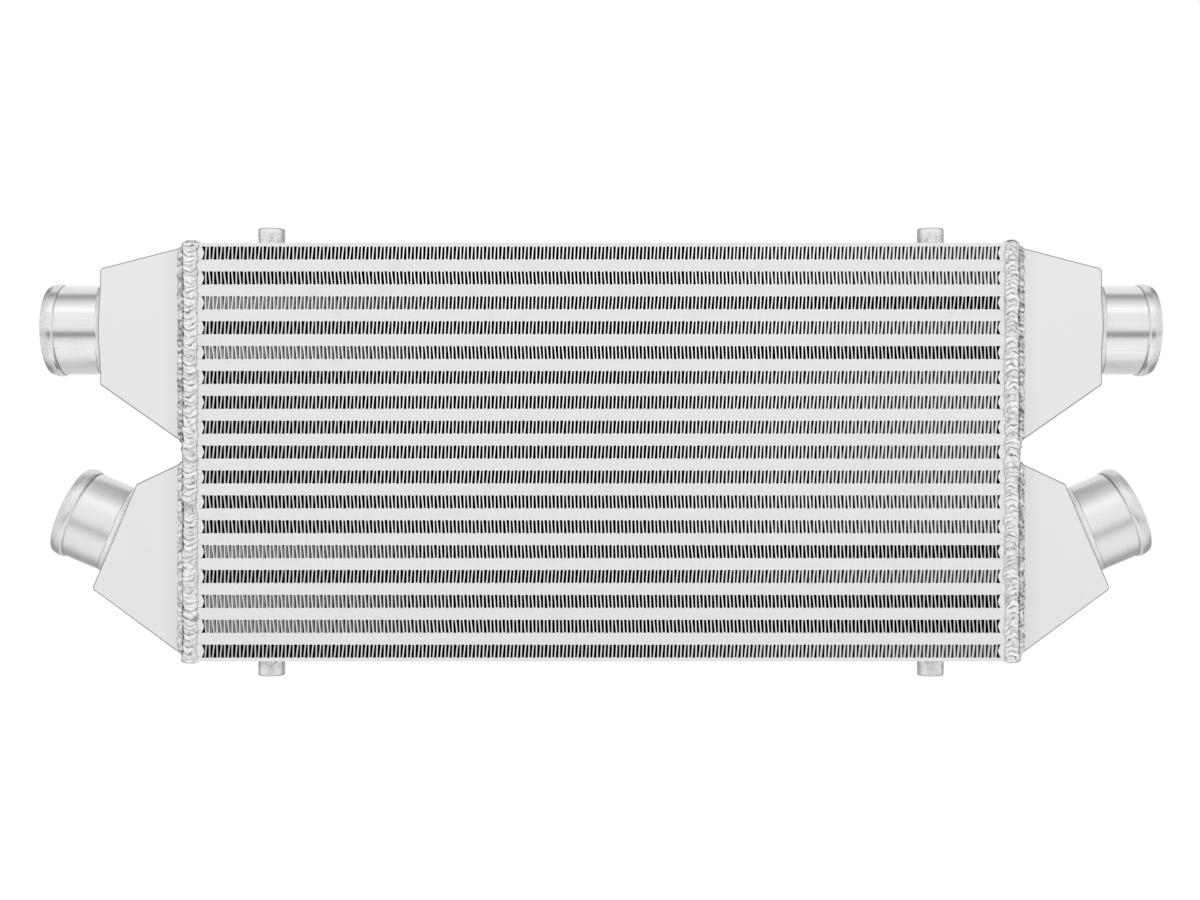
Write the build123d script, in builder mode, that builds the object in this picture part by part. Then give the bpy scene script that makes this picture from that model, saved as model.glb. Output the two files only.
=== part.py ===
"""Twin-inlet, twin-outlet bar-and-plate intercooler in bare aluminium.

Charge air enters the tanks on one side, runs along X through the flat passages
of the core and leaves by the tanks on the other side.  Outside air blows along Y
through the corrugated fins between the passages.

Frame: X across the car, Y along the outside air's path, Z up, in millimetres.
The origin is the centre of the core.
"""

import os
from math import ceil, cos, hypot, radians, sin

from build123d import *

# ---- Driving dimensions -----------------------------------------------------

# Core: a stack of fin rows, charge passages and the sheets that part them
ambient_rows = 17
fin_field_width = 556.8
core_height = 291.85
core_depth = 76.0
fin_height = 9.25
sheet_thickness = 0.5
cover_thickness = 2.5
end_bar_width = 13.6
long_bar_width = 8.0
bar_nose = 1.7

# Corrugated fins
ambient_leg_pitch = 8.2
charge_leg_pitch = 8.0
fin_thickness = 0.5
fin_clearance = 0.3

# End tanks: offsets are measured outwards from the core's end face, heights from its
# middle, and the outer ends of the mouths from the core's top and bottom
tank_wall = 3.0
tank_edge_radius = 1.2
tank_corner_radius = 2.5
upper_mouth_inset = 3.0
upper_mouth_bottom = 6.7
upper_end_offset = 57.5
upper_end_height = 87.5
upper_end_length = 81.0
upper_end_tilt = 0.0
lower_mouth_top = -7.3
lower_mouth_inset = 4.1
lower_end_offset = 47.6
lower_end_height = -58.9
lower_end_length = 79.4
lower_end_tilt = 23.0

# Hose stubs
stub_radius = 31.75
stub_wall = 2.0
stub_reach = 44.4
stub_bead_width = 8.6
stub_bead_height = 1.45
stub_lip = 0.4

# Threaded mounting bosses, inset from the core's ends
boss_radius = 9.5
boss_height = 14.5
boss_edge_bevel = 0.8
boss_inset = 55.0
thread_core_radius = 3.4
thread_depth = 12.0

# Weld beads
seam_width = 12.0
seam_height = 2.6
foot_reach = 4.0
foot_leg = 3.0
foot_toe = 1.6
stub_weld_reach = 6.5
stub_weld_rise = 4.7
boss_weld_leg = 2.4

# ---- Sizes and places that follow from them ----------------------------------

charge_rows = ambient_rows - 1
half_height = core_height / 2
half_stack = half_height - cover_thickness
half_width = fin_field_width / 2 + end_bar_width
half_depth = core_depth / 2

row_pitch = (2 * half_stack - fin_height) / charge_rows
charge_height = row_pitch - fin_height - 2 * sheet_thickness
upper_mouth_top = half_height - upper_mouth_inset
lower_mouth_bottom = lower_mouth_inset - half_height

ambient_centres = [(charge_rows / 2 - i) * row_pitch for i in range(ambient_rows)]
charge_centres = [(ambient_centres[i] + ambient_centres[i + 1]) / 2 for i in range(charge_rows)]
sheet_offset = (charge_height + sheet_thickness) / 2

back_plane = Plane.XZ.offset(-half_depth)
left_end_plane = Plane.YZ.offset(-half_width)
sides = {"left": -1, "right": 1}

os.makedirs("parts", exist_ok=True)


def save(builder, name):
    """Label a finished piece and write its STEP file."""
    builder.part.label = name
    export_step(builder.part, f"parts/{name}.step")


# ---- Core --------------------------------------------------------------------


def corrugation(length, height, leg_pitch, centre):
    """Closed outline of a folded fin sheet whose crests reach exactly height apart."""
    legs = ceil(length / leg_pitch)
    run = length / legs
    half_skin = fin_thickness / 2 * hypot(1, height / run)
    crest = height / 2 - half_skin
    folds = [(i * run - length / 2, centre + (crest if i % 2 else -crest)) for i in range(legs + 1)]
    upper = [(across, up + half_skin) for across, up in folds]
    lower = [(across, up - half_skin) for across, up in reversed(folds)]
    return upper + lower


def bar_outline(outer_face, width, height, centre, inward):
    """Closing bar's section, with the low V nose that it turns towards the fins."""
    shoulder = outer_face + inward * width
    nose = shoulder + inward * bar_nose
    low, high = centre - height / 2, centre + height / 2
    return [(outer_face, low), (shoulder, low), (nose, centre), (shoulder, high), (outer_face, high)]


ambient_fin_length = fin_field_width - 2 * (bar_nose + fin_clearance)
for number, centre in enumerate(ambient_centres, start=1):
    with BuildPart() as ambient_fin:
        with BuildSketch(back_plane):
            with BuildLine():
                Polyline(corrugation(ambient_fin_length, fin_height, ambient_leg_pitch, centre), close=True)
            make_face()
        extrude(amount=core_depth)
    save(ambient_fin, f"ambient_fin_{number:02d}")

charge_fin_width = core_depth - 2 * (long_bar_width + bar_nose + fin_clearance)
with BuildPart() as charge_fins:
    with BuildSketch(left_end_plane):
        for centre in charge_centres:
            with BuildLine():
                Polyline(corrugation(charge_fin_width, charge_height, charge_leg_pitch, centre), close=True)
            make_face()
    extrude(amount=2 * half_width)
save(charge_fins, "charge_fins")

# Long bars close the charge passages at the core's front and back
for name, outward in {"front": -1, "back": 1}.items():
    with BuildPart() as long_bars:
        with BuildSketch(left_end_plane):
            for centre in charge_centres:
                with BuildLine():
                    face = outward * half_depth
                    Polyline(bar_outline(face, long_bar_width, charge_height, centre, -outward), close=True)
                make_face()
        extrude(amount=2 * half_width)
    save(long_bars, f"{name}_bars")

# End bars close the fin rows towards the tanks
for side, outward in sides.items():
    with BuildPart() as end_bars:
        with BuildSketch(back_plane):
            for centre in ambient_centres:
                with BuildLine():
                    face = outward * half_width
                    Polyline(bar_outline(face, end_bar_width, fin_height, centre, -outward), close=True)
                make_face()
        extrude(amount=core_depth)
    save(end_bars, f"{side}_end_bars")

with BuildPart() as parting_sheets:
    with BuildSketch(left_end_plane):
        with Locations([(0, centre + way * sheet_offset) for centre in charge_centres for way in (-1, 1)]):
            Rectangle(core_depth, sheet_thickness)
    extrude(amount=2 * half_width)
save(parting_sheets, "parting_sheets")

for name, upward in {"top": 1, "bottom": -1}.items():
    with BuildPart() as cover:
        with BuildSketch(left_end_plane):
            with Locations((0, upward * (half_stack + cover_thickness / 2))):
                Rectangle(core_depth, cover_thickness)
        extrude(amount=2 * half_width)
    save(cover, f"{name}_plate")


# ---- Tanks, hose stubs and their welds ----------------------------------------


def tank_corners(mouth_top, mouth_bottom, end_offset, end_height, end_length, end_tilt):
    """Tank's outline as (offset from the core, height), from the mouth's top to its bottom."""
    lean = end_length / 2 * sin(radians(end_tilt))
    rise = end_length / 2 * cos(radians(end_tilt))
    return [
        (0, mouth_top),
        (end_offset - lean, end_height + rise),
        (end_offset + lean, end_height - rise),
        (0, mouth_bottom),
    ]


def build_tank(corners, outward, port):
    """Open-mouthed sheet tank with the hole that its hose stub stands in."""
    with BuildPart() as tank:
        with BuildSketch(back_plane):
            with BuildLine():
                Polyline([(outward * (half_width + offset), up) for offset, up in corners], close=True)
            make_face()
        extrude(amount=core_depth)
        mouth = tank.faces().sort_by(Axis.X)[0 if outward > 0 else -1]
        offset(amount=-tank_wall, openings=mouth)
        across = tank.edges().filter_by(Axis.Y).group_by(SortBy.LENGTH)[-1]
        end_edges = across.sort_by(lambda edge: outward * edge.center().X)[-2:]
        fillet(end_edges, radius=tank_corner_radius)
        for rim in (tank.edges().group_by(Axis.Y)[0], tank.edges().group_by(Axis.Y)[-1]):
            fillet(rim.sort_by(lambda edge: outward * edge.center().X)[1:], radius=tank_edge_radius)
        with BuildSketch(port):
            Circle(stub_radius)
        extrude(amount=-2 * tank_wall, mode=Mode.SUBTRACT)
    return tank


def build_foot_weld(corners, outward):
    """Fillet weld round the tank's mouth, thinning to nothing on the tank's walls."""
    (_, top), (end_top_offset, end_top), (end_bottom_offset, end_bottom), (_, bottom) = corners
    toe_top = top + (end_top - top) * foot_reach / end_top_offset
    toe_bottom = bottom + (end_bottom - bottom) * foot_reach / end_bottom_offset
    with BuildPart() as weld:
        with BuildSketch(Plane.YZ.offset(outward * half_width)):
            with Locations((0, (top + bottom) / 2)):
                Rectangle(core_depth + 2 * foot_toe, top - bottom + 2 * foot_leg)
        with BuildSketch(Plane.YZ.offset(outward * (half_width + foot_reach))):
            with Locations((0, (toe_top + toe_bottom) / 2)):
                Rectangle(core_depth, toe_top - toe_bottom)
        loft(ruled=True)
        with BuildSketch(back_plane):
            with BuildLine():
                Polyline([(outward * (half_width + offset), up) for offset, up in corners], close=True)
            make_face()
        extrude(amount=core_depth, mode=Mode.SUBTRACT)
    return weld


def build_stub(port, section):
    """Hose stub with a raised bead that keeps the hose and its clamp from blowing off."""
    bead_end = stub_reach - stub_lip
    bead_start = bead_end - stub_bead_width
    crown = ((bead_start + bead_end) / 2, stub_radius + stub_bead_height)
    with BuildPart() as stub:
        with BuildSketch(section):
            with BuildLine():
                Polyline(
                    (bead_end, stub_radius),
                    (stub_reach, stub_radius),
                    (stub_reach, stub_radius - stub_wall),
                    (-tank_wall, stub_radius - stub_wall),
                    (-tank_wall, stub_radius),
                    (bead_start, stub_radius),
                )
                ThreePointArc((bead_start, stub_radius), crown, (bead_end, stub_radius))
            make_face()
        revolve(axis=Axis(port.origin, port.z_dir))
    return stub


def build_stub_weld(port, section):
    """Fillet weld between the tank's end and the stub."""
    with BuildPart() as weld:
        with BuildSketch(section):
            with BuildLine():
                Polyline(
                    (0, stub_radius),
                    (0, stub_radius + stub_weld_rise),
                    (stub_weld_reach, stub_radius),
                    close=True,
                )
            make_face()
        revolve(axis=Axis(port.origin, port.z_dir))
    return weld


upper_tank = (
    upper_mouth_top, upper_mouth_bottom, upper_end_offset, upper_end_height, upper_end_length, upper_end_tilt
)
lower_tank = (
    lower_mouth_top, lower_mouth_bottom, lower_end_offset, lower_end_height, lower_end_length, lower_end_tilt
)
for level, sizes in {"upper": upper_tank, "lower": lower_tank}.items():
    corners = tank_corners(*sizes)
    end_offset, end_height, end_tilt = sizes[2], sizes[3], sizes[5]
    for side, outward in sides.items():
        port_centre = (outward * (half_width + end_offset), 0, end_height)
        port_axis = (outward * cos(radians(end_tilt)), 0, sin(radians(end_tilt)))
        port = Plane(port_centre, x_dir=(0, 1, 0), z_dir=port_axis)
        section = Plane(port_centre, x_dir=port_axis, z_dir=(0, 1, 0))
        save(build_tank(corners, outward, port), f"{level}_{side}_tank")
        save(build_foot_weld(corners, outward), f"{level}_{side}_tank_weld")
        save(build_stub(port, section), f"{level}_{side}_stub")
        save(build_stub_weld(port, section), f"{level}_{side}_stub_weld")

# Seam welds run round both ends of the core, highest along the middle of the bead
for side, outward in sides.items():
    with BuildPart() as seam_weld:
        for step, height in enumerate((0, seam_height, 0)):
            with BuildSketch(Plane.YZ.offset(outward * (half_width - step * seam_width / 2))):
                Rectangle(core_depth + 2 * height, 2 * (half_height + height))
        loft()
        with BuildSketch(left_end_plane):
            Rectangle(core_depth, 2 * half_height)
        extrude(amount=2 * half_width, mode=Mode.SUBTRACT)
    save(seam_weld, f"{side}_seam_weld")

# ---- Mounting bosses -----------------------------------------------------------

for level, upward in {"top": 1, "bottom": -1}.items():
    for side, outward in sides.items():
        seat = Plane((outward * (half_width - boss_inset), 0, upward * half_height), z_dir=(0, 0, upward))
        with BuildPart(seat) as boss:
            Cylinder(boss_radius, boss_height, align=(Align.CENTER, Align.CENTER, Align.MIN))
            free_end = boss.faces().filter_by(Axis.Z).sort_by(Axis.Z)[-1 if upward > 0 else 0]
            chamfer(free_end.edges(), length=boss_edge_bevel)
            with BuildSketch(seat.offset(boss_height)):
                Circle(thread_core_radius)
            extrude(amount=-thread_depth, mode=Mode.SUBTRACT)
        save(boss, f"{level}_{side}_boss")

        with BuildPart() as boss_weld:
            with BuildSketch(Plane(seat.origin, x_dir=(1, 0, 0), z_dir=(0, -upward, 0))):
                with BuildLine():
                    Polyline(
                        (boss_radius, 0),
                        (boss_radius + boss_weld_leg, 0),
                        (boss_radius, boss_weld_leg),
                        close=True,
                    )
                make_face()
            revolve(axis=Axis(seat.origin, seat.z_dir))
        save(boss_weld, f"{level}_{side}_boss_weld")
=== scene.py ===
# %% [markdown]
# # Dressing a bar-and-plate intercooler
# The CAD model already has every solid in its place: a brazed core of bars, sheets and fins, four welded tanks
# with their hose stubs, and four threaded bosses. This script gives that frame its looks. Shapes that carry the
# character of the real thing, such as the fin stock and the weld beads, are worked out again as fine surfaces with
# numpy. The flat bars and tank shells stay as they are and only get a finish. Lengths are written in millimetres, and
# MM turns them into the metres that Blender and the frame use.

# %% Load the frame
import math

import bpy
import numpy as np
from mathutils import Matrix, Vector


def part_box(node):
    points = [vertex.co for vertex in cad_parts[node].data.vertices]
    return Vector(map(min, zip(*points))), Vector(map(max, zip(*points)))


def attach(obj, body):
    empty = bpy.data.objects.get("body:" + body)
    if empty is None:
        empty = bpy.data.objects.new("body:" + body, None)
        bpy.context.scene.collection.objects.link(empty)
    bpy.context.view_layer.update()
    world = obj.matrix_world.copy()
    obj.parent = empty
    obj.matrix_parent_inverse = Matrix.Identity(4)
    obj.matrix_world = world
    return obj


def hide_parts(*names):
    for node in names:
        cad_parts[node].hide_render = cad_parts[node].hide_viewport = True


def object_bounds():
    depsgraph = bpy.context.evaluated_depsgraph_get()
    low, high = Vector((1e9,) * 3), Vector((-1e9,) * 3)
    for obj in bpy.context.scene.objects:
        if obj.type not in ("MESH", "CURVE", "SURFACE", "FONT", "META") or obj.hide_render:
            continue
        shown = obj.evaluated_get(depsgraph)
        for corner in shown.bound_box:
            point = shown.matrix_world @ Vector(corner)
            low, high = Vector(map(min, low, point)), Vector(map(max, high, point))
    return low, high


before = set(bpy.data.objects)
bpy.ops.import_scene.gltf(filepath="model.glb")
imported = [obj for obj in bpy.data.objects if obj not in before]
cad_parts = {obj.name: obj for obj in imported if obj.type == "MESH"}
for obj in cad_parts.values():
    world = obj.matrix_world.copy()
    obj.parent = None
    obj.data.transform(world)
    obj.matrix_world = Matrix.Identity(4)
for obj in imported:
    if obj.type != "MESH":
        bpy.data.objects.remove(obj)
cad_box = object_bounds()
MM = 0.001
print("frame:", len(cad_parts), "nodes, box", [[round(c, 4) for c in corner] for corner in cad_box])

# %% [markdown]
# ## The camera
# A catalogue view looks straight at the core face from a little over a metre, with a normal lens, so the tanks at
# both ends show a trace of perspective and the round stubs show their rims.

# %% Camera
CAMERA_DISTANCE = 1200.0
CAMERA_ASIDE, CAMERA_UP = -0.72, 1.44

lens = bpy.data.cameras.new("bench_camera")
lens.lens, lens.sensor_width, lens.sensor_fit = 50.0, 36.0, "HORIZONTAL"
lens.clip_start, lens.clip_end = 0.05, 60.0
camera = bpy.data.objects.new("bench_camera", lens)
camera.location = (CAMERA_ASIDE * MM, -CAMERA_DISTANCE * MM, CAMERA_UP * MM)
camera.rotation_euler = (math.pi / 2, 0.0, 0.0)
bpy.context.scene.collection.objects.link(camera)
bpy.context.scene.camera = camera
bpy.context.scene.view_settings.view_transform = "Standard"
print("camera stands", -camera.location.y, "m in front of the core's middle plane")

# %% [markdown]
# ## Writing shader maths as plain expressions
# A pattern such as "half the grain plus a tenth of the smudge" is easy to read as an expression and tiresome to
# read as a web of nodes. `Term` wraps one output socket and adds a Math node for every operator used on it, also
# where a plain number stands first. `Nodes` adds every other kind of node through `add`, and has short names for the
# few that all finishes share.

# %% Term and Nodes
ALUMINIUM = (0.985, 0.99, 1.0)


class Term:
    """One output socket, with the arithmetic operators of numbers."""

    def __init__(self, nodes, socket):
        self.nodes, self.socket = nodes, socket

    def _math(self, operation, *values):
        return self.nodes.add("ShaderNodeMath", {"operation": operation}, dict(enumerate(values)))

    def __add__(self, other):
        return self._math("ADD", self, other)

    def __sub__(self, other):
        return self._math("SUBTRACT", self, other)

    def __mul__(self, other):
        return self._math("MULTIPLY", self, other)

    def __truediv__(self, other):
        return self._math("DIVIDE", self, other)

    def __radd__(self, other):
        return self._math("ADD", other, self)

    def __rsub__(self, other):
        return self._math("SUBTRACT", other, self)

    def __rmul__(self, other):
        return self._math("MULTIPLY", other, self)

    def __rtruediv__(self, other):
        return self._math("DIVIDE", other, self)

    def __neg__(self):
        return self._math("MULTIPLY", self, -1.0)

    def __abs__(self):
        return self._math("ABSOLUTE", self)

    def low(self, other):
        """The smaller of this value and the other."""
        return self._math("MINIMUM", self, other)

    def ease(self, start, end):
        """0 below start, 1 above end, and a smooth S-curve between them."""
        sockets = {"Value": self, "From Min": start, "From Max": end}
        return self.nodes.add("ShaderNodeMapRange", {"interpolation_type": "SMOOTHSTEP"}, sockets)

    def twin(self, name):
        """Another output of the node that this one comes from."""
        return Term(self.nodes, self.socket.node.outputs[name])


class Nodes:
    """The node tree of one finish, emptied and ready to be filled."""

    def __init__(self, tree):
        self.tree = tree
        tree.nodes.clear()

    def add(self, kind, settings=None, sockets=None, out=0):
        """A node of this kind: its settings first, then its sockets' values or links. Returns one output."""
        node = self.tree.nodes.new(kind)
        for name, value in (settings or {}).items():
            if name == "stops":
                ramp = node.color_ramp.elements
                while len(ramp) < len(value):
                    ramp.new(1.0)
                for stop, (place, shade) in zip(ramp, value):
                    stop.position, stop.color = place, (shade, shade, shade, 1.0)
            else:
                setattr(node, name, value)
        for name, value in (sockets or {}).items():
            socket = node.inputs[name]
            if isinstance(value, Term):
                self.tree.links.new(value.socket, socket)
            else:
                socket.default_value = value
        return Term(self, node.outputs[out]) if node.outputs else None

    def place(self):
        """Object coordinates, in metres: a piece's own place in the model."""
        return self.add("ShaderNodeTexCoord", out="Object")

    def mark(self, name):
        """A number that the mesh keeps for each of its points."""
        return self.add("ShaderNodeAttribute", {"attribute_name": name}, out="Fac")

    def split(self, vector):
        """The three numbers of a vector."""
        first = self.add("ShaderNodeSeparateXYZ", None, {0: vector}, "X")
        return first, first.twin("Y"), first.twin("Z")

    def noise(self, vector, per_metre, detail=2.0, roughness=0.5):
        """Cloudy noise with a value of about 0.5. per_metre is how many blobs lie in a metre, as one number or as one
        for each axis."""
        stretch = per_metre if isinstance(per_metre, tuple) else (per_metre, per_metre, per_metre)
        scaled = self.add("ShaderNodeMapping", None, {"Vector": vector, "Scale": stretch})
        return self.add("ShaderNodeTexNoise", None,
                        {"Vector": scaled, "Scale": 1.0, "Detail": detail, "Roughness": roughness})

    def bump(self, height, strength, distance):
        """Turns a height pattern into shading relief, distance metres deep."""
        return self.add("ShaderNodeBump", None,
                        {"Height": height, "Strength": strength, "Distance": distance})

    def light(self, level):
        """A white light of this level, which may be brighter than one."""
        return self.add("ShaderNodeCombineXYZ", None, {"X": level, "Y": level, "Z": level})

    def metal(self, shade, roughness, relief=None):
        """Bare aluminium, sent to the output. Its colour is mixed from black to ALUMINIUM by shade."""
        factor, black, bright, mixed = 0, 6, 7, 2
        colour = self.add("ShaderNodeMix", {"data_type": "RGBA"},
                          {factor: shade, black: (0.0, 0.0, 0.0, 1.0), bright: (*ALUMINIUM, 1.0)}, mixed)
        sockets = {"Base Color": colour, "Roughness": roughness, "Metallic": 1.0}
        if relief:
            sockets["Normal"] = relief
        surface = self.add("ShaderNodeBsdfPrincipled", None, sockets)
        self.add("ShaderNodeOutputMaterial", None, {"Surface": surface})


def finish(name):
    """A new material and its Nodes."""
    material = bpy.data.materials.new(name)
    material.use_nodes = True
    return material, Nodes(material.node_tree)


print("shader helpers ready, aluminium is", ALUMINIUM)

# %% [markdown]
# ## Putting a numpy grid into a mesh
# Every new piece here is a grid of points. Walking along its rows and columns gives the faces, so one helper can
# make them all. A grid that closes on itself in both directions is a closed shell, and the sign of its volume tells
# whether its faces look outwards.

# %% Grid to mesh
tally = {"triangles": 0}


def lay(name, grid, material, node, round_u=True, round_v=True, strips=(), marks=None, crease=None):
    """A piece from a grid of points in mm, point (i, j) joined to (i+1, j) and (i, j+1), and closed along i and j
    where round_u and round_v say so. strips are extra four-cornered faces as rows of point numbers. marks are numbers
    kept per point. Edges that fold by more than crease degrees stay sharp."""
    rows, columns = grid.shape[:2]
    number = np.arange(rows * columns).reshape(rows, columns)
    if round_u:
        number = np.vstack([number, number[:1]])
    if round_v:
        number = np.hstack([number, number[:, :1]])
    faces = np.stack([number[:-1, :-1], number[1:, :-1], number[1:, 1:], number[:-1, 1:]], -1).reshape(-1, 4)
    if len(strips):
        faces = np.vstack([faces, strips])
    corners = grid.reshape(-1, 3)
    a, b, c, d = (corners[faces[:, k]] for k in range(4))
    volume = (np.einsum("ij,ij->i", a, np.cross(b, c)) + np.einsum("ij,ij->i", a, np.cross(c, d))).sum() / 6
    if volume < 0:
        faces = faces[:, ::-1]
    mesh = bpy.data.meshes.new(name)
    mesh.vertices.add(len(corners))
    mesh.vertices.foreach_set("co", (corners * MM).astype(np.float32).ravel())
    mesh.loops.add(faces.size)
    mesh.loops.foreach_set("vertex_index", faces.astype(np.int32).ravel())
    mesh.polygons.add(len(faces))
    mesh.polygons.foreach_set("loop_start", np.arange(0, faces.size, 4, dtype=np.int32))
    mesh.update(calc_edges=True)
    mesh.polygons.foreach_set("use_smooth", np.ones(len(faces), bool))
    if crease:
        mesh.set_sharp_from_angle(angle=math.radians(crease))
    for mark, values in (marks or {}).items():
        spread = np.broadcast_to(values, (rows, columns)).astype(np.float32)
        mesh.attributes.new(mark, "FLOAT", "POINT").data.foreach_set("value", spread.ravel())
    mesh.materials.append(material)
    piece = bpy.data.objects.new(name, mesh)
    bpy.context.scene.collection.objects.link(piece)
    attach(piece, "root")
    if node:
        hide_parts(node)
    tally["triangles"] += 2 * len(faces)
    return piece


print("grids are ready to become meshes")

# %% [markdown]
# ## Small tools for shapes
# Weld metal and folded foil are never regular, yet the model has to come out the same each time. A handful of plane
# waves with seeded random directions, added together, is a smooth noise that can be read at any point in space, so
# it also closes without a seam round a ring. The other tools stack coordinates into points, make a bell curve, and
# add the hidden columns that close a strip into a tube.

# %% Rumple, points and bell
def rumple(where, size, seed, waves=9):
    """Smooth noise at points (..., 3): the sum of cosine waves about size mm long in random directions,
    scaled to a standard deviation of 1."""
    dice = np.random.default_rng(seed)
    way = dice.normal(size=(waves, 3))
    way *= (2 * np.pi / size) * dice.uniform(0.6, 1.5, (waves, 1)) / np.linalg.norm(way, axis=1, keepdims=True)
    phase = dice.uniform(0, 2 * np.pi, waves)
    return np.cos(where @ way.T + phase).sum(-1) * math.sqrt(2 / waves)


def points(x, y, z):
    """Points (..., 3) from their coordinates, each spread over the shape of the others."""
    return np.stack(np.broadcast_arrays(x, y, z), -1)


def bell(value, middle, width):
    """A bell curve: 1 where value is at middle, and about a third where it is width away."""
    return np.exp(-(((value - middle) / width) ** 2))


def wrapped(values):
    """The grid with its last column and its first once more, for the underside of a strip."""
    return np.concatenate([values, values[:, -1:], values[:, :1]], 1)


def padded(values, fill, columns=2):
    """The grid with more columns of one number."""
    return np.pad(values, ((0, 0), (0, columns)), constant_values=fill)


HANDS = ((-1, "left"), (1, "right"))
print("shape tools ready")

# %% [markdown]
# ## Sizes of the core
# The core is a stack: seventeen rows of cooling fins with a charge-air passage between each pair of rows, closed by
# bars along the edges. Each size is read from the frame, so the dress fits the solids.

# %% Core sizes
ROWS = 17


def box_mm(node):
    """A node's lowest and highest corners, in mm."""
    return [np.array(corner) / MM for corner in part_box(node)]


fin_low, fin_high = box_mm("ambient_fin_01")
row_height = fin_high[2] - fin_low[2]
half_width, half_depth = box_mm("right_end_bars")[1][:2]
half_height = box_mm("top_plate")[1][2]
print(f"core {2 * half_width:.1f} x {2 * half_depth:.1f} x {2 * half_height:.2f} mm, "
      f"fin rows {fin_high[0] - fin_low[0]:.1f} mm wide and {row_height:.2f} mm high")

# %% [markdown]
# ## Fin stock
# The cooling fins are thin foil folded into a serpentine, with the folds brazed to the sheets above and below. From
# the front one sees the bright cut edges of the foil, and dark channels between them. The shade in the channels is
# painted: the foil's colour is painted darker with the depth below the two faces. The mark `lit` says how much
# further the painted light reaches into some channels than into others. The mark `dim` paints the foil
# darker near the ends of a row, a painted shade.

# %% Fin stock finish
# The painted shade in the channels: the depth where it begins, and how much further in it is full.
DARK_FROM = 0.5  # depth below the face where the foil starts to darken
DARK_WITHIN, DARK_WHEN_LIT = 1.2, 17.0  # further depth until it is dark, and how much more that is where lit is 1

fin_stock, n = finish("fin_stock")
where = n.place()
depth = half_depth * MM - abs(n.split(where)[1])
lit, dim = n.mark("lit"), n.mark("dim")
# Painted shade: the colour darkens with depth into each channel, less quickly where lit is high, and is painted darker
# near the row ends.
painted_depth_shade = ((depth - DARK_FROM * MM) / (DARK_WITHIN * MM + DARK_WHEN_LIT * MM * lit)).ease(0.0, 1.0)
blotch = n.noise(where, 260.0)
shade = (0.99 - 0.05 * blotch) * (1 - 0.28 * dim) * (1 - painted_depth_shade) + 0.004 * painted_depth_shade
n.metal(shade, 0.28 + 0.1 * blotch + 0.6 * painted_depth_shade)
print(f"fin stock: dark {DARK_FROM + DARK_WITHIN:.1f} mm in, or {DARK_FROM + DARK_WITHIN + DARK_WHEN_LIT:.1f} mm "
      "where fully lit")

# %% [markdown]
# ## Serpentine rows
# A row is one folded line of foil, carried straight through the core from front to back. The foil is lanced: every
# few millimetres it steps sideways, so its edges look thicker than the foil is and nothing shows through the core. A
# row starts as the line's corner points, which are moved to both sides by half the foil. The closed loop that this
# gives is set at each depth with that depth's sideways shift.

# %% Serpentine rows
LEG_PITCH = 2.65  # from one leg of the foil to the next
FOIL = 0.24  # thickness of the foil
OVERHANG = 0.6  # how far the foil's first and last leg stand beyond the row
LEAN_RIGHT, LEAN_LEFT = 0.29, -0.25  # half of how far a leg's top stands aside of its foot
LEFT_LEANING_ROWS = (2, 5, 11, 12, 13, 15, 16)
TURNED_ROWS = (3, 5, 13, 15, 16)  # rows put in the other way round, with their skew and marks mirrored
SLACK_LEGS = 25

STEP = 0.355  # half of a sideways step of the lanced foil
SKEW = 0.0375  # steady sideways drift for each mm of depth
BOW, BOW_SPAN = 3.0, 0.58  # a sideways bow in the middle of the depth, so that no channel is open right through
# depths where the foil steps, and the side where it stands there, for a core that is 38 mm deep to its middle
STEP_DEPTHS = np.array([0.0, 0.12, 1.6, 1.75, 4.4, 4.6, 8.0, 8.3, 16.0, 27.0])
STEP_SIDES = np.array([-1.0, 1.0, 1.0, -1.0, -1.0, 1.0, 1.0, -1.0, 0.0, 0.0])
MIDDLE_DEPTH = 38.0


def serpentine(low, high, lean, seed):
    """Corner points (x, z) of folded foil: legs LEG_PITCH apart, each from one sheet to the other. Two legs joined
    by a fold lean towards each other there, lean tips the whole row over, and a little seeded slack moves
    each fold. The slack is random numbers averaged over SLACK_LEGS legs, and fades out at both ends."""
    dice = np.random.default_rng(seed)
    legs = int(round((high[0] - low[0] + 2 * OVERHANG) / LEG_PITCH)) + 1
    k = np.arange(legs)
    middle = np.linspace(low[0] - OVERHANG, high[0] + OVERHANG, legs)
    joined_above = np.where(k % 2 == 0, 1.0, -1.0)
    window = np.ones(SLACK_LEGS) / SLACK_LEGS
    slack = np.convolve(dice.normal(0, 1, legs + SLACK_LEGS - 1), window, "valid") * 0.5
    slack *= (np.minimum(k, k[::-1]) / 12).clip(0, 1)
    lean = lean * (1 + 0.3 * (k / legs - 0.5) * np.sign(lean))
    apart = joined_above * (0.07 + 0.14 * np.abs(2 * k / legs - 1))
    top = middle + apart + lean + slack + dice.normal(0, 0.06, legs)
    foot = middle - apart - lean - slack * 0.2 + dice.normal(0, 0.06, legs)
    z_top, z_foot = high[2] - FOIL / 2, low[2] + FOIL / 2
    up = k % 2 == 0
    first = np.stack([np.where(up, foot, top), np.where(up, z_foot, z_top)], -1)
    last = np.stack([np.where(up, top, foot), np.where(up, z_top, z_foot)], -1)
    return np.stack([first, last], 1).reshape(-1, 2)


def offset(line, distance):
    """The line moved sideways: each corner shifts along the mean of its two legs' normals, mitred."""
    run = np.diff(line, axis=0)
    run /= np.linalg.norm(run, axis=1, keepdims=True)
    side = np.stack([-run[:, 1], run[:, 0]], -1)
    before, after = np.vstack([side[:1], side]), np.vstack([side, side[-1:]])
    mitre = (before + after) / (1 + (before * after).sum(1, keepdims=True)).clip(0.35)
    return line + distance * mitre


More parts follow.
